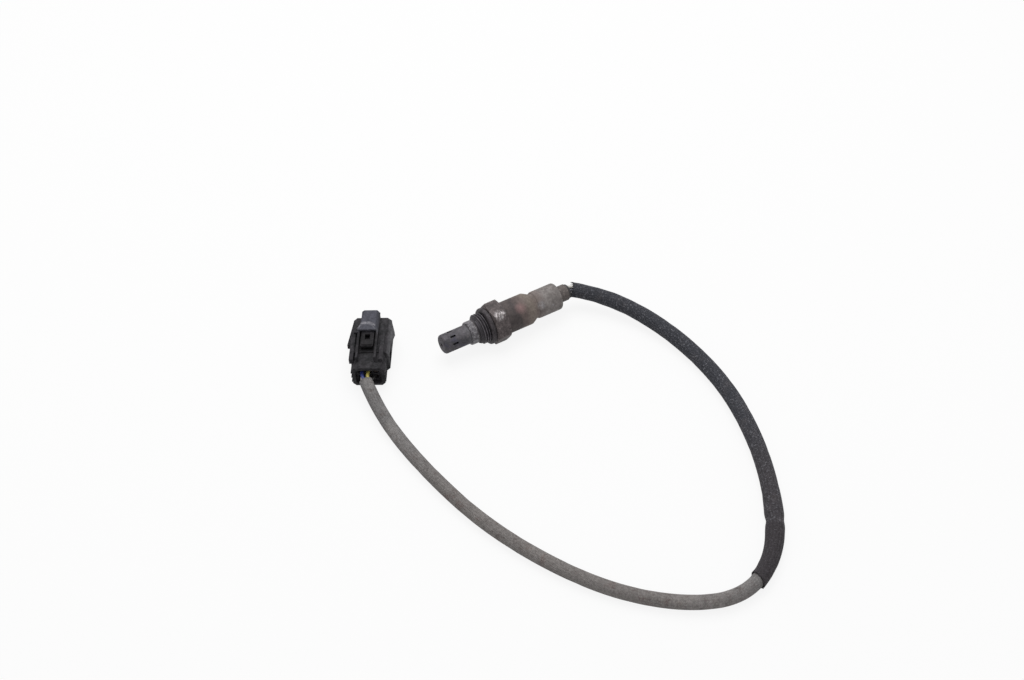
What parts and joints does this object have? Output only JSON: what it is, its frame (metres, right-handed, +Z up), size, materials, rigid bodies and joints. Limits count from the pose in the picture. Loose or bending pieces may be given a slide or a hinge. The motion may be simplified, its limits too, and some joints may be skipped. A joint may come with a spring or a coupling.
{
  "type": "oxygen sensor",
  "caption": "Used wide-band oxygen sensor: slotted probe, M18 thread with gasket, hexagon, stepped steel casing, leads in a woven sleeve and a sealed plug.",
  "frame": {"origin": "on the surface that the sensor lies on, under the middle of its length from probe tip to grommet", "axes": "+X along the sensor's axis from the probe tip to the leads, +Z up"},
  "size_m": [0.1811, 0.259, 0.022],
  "materials": {
    "probe_steel": "heat-stained, dull",
    "element_ceramic": "matt",
    "shell_steel": "sooty, worn at the spanner marks",
    "gasket_steel": "dull, crushed",
    "white_ceramic": "matt",
    "pressed_talc": "matt",
    "soft_metal": "dull",
    "casing_steel": "heat-stained, dull",
    "contact_metal": "plain",
    "spring_steel": "plain",
    "black_rubber": "matt",
    "black_plastic": "dusty, scuffed",
    "grey_plastic": "matt",
    "seal_rubber": "matt",
    "tinned_metal": "plain",
    "dark_weave": "woven, slightly shiny",
    "grey_weave": "woven, dusty",
    "yellow_insulation": "dusty",
    "blue_insulation": "dusty",
    "white_insulation": "dusty",
    "grey_insulation": "dusty",
    "black_insulation": "dusty"
  },
  "bodies": {
    "root": {"outer_probe_cap": "probe_steel", "inner_probe_cap": "probe_steel", "sensing_element": "element_ceramic", "hex_shell": "shell_steel", "sealing_washer": "gasket_steel", "front_holder": "white_ceramic", "talc_seal": "pressed_talc", "rear_ceramic": "white_ceramic", "packing_ring": "soft_metal", "front_casing": "casing_steel", "rear_casing": "casing_steel", "contact_block": "white_ceramic", "contact_springs": "contact_metal", "holder_spring": "spring_steel", "grommet": "black_rubber", "plug_housing": "black_plastic", "terminal_retainer": "grey_plastic", "ring_seal": "seal_rubber", "wire_seals": "seal_rubber", "blind_plug": "seal_rubber", "terminals": "tinned_metal", "dark_sleeve": "dark_weave", "grey_sleeve": "grey_weave", "yellow_lead": "yellow_insulation", "blue_lead": "blue_insulation", "white_lead": "white_insulation", "grey_lead": "grey_insulation", "black_lead": "black_insulation"}
  },
  "joints": []
}
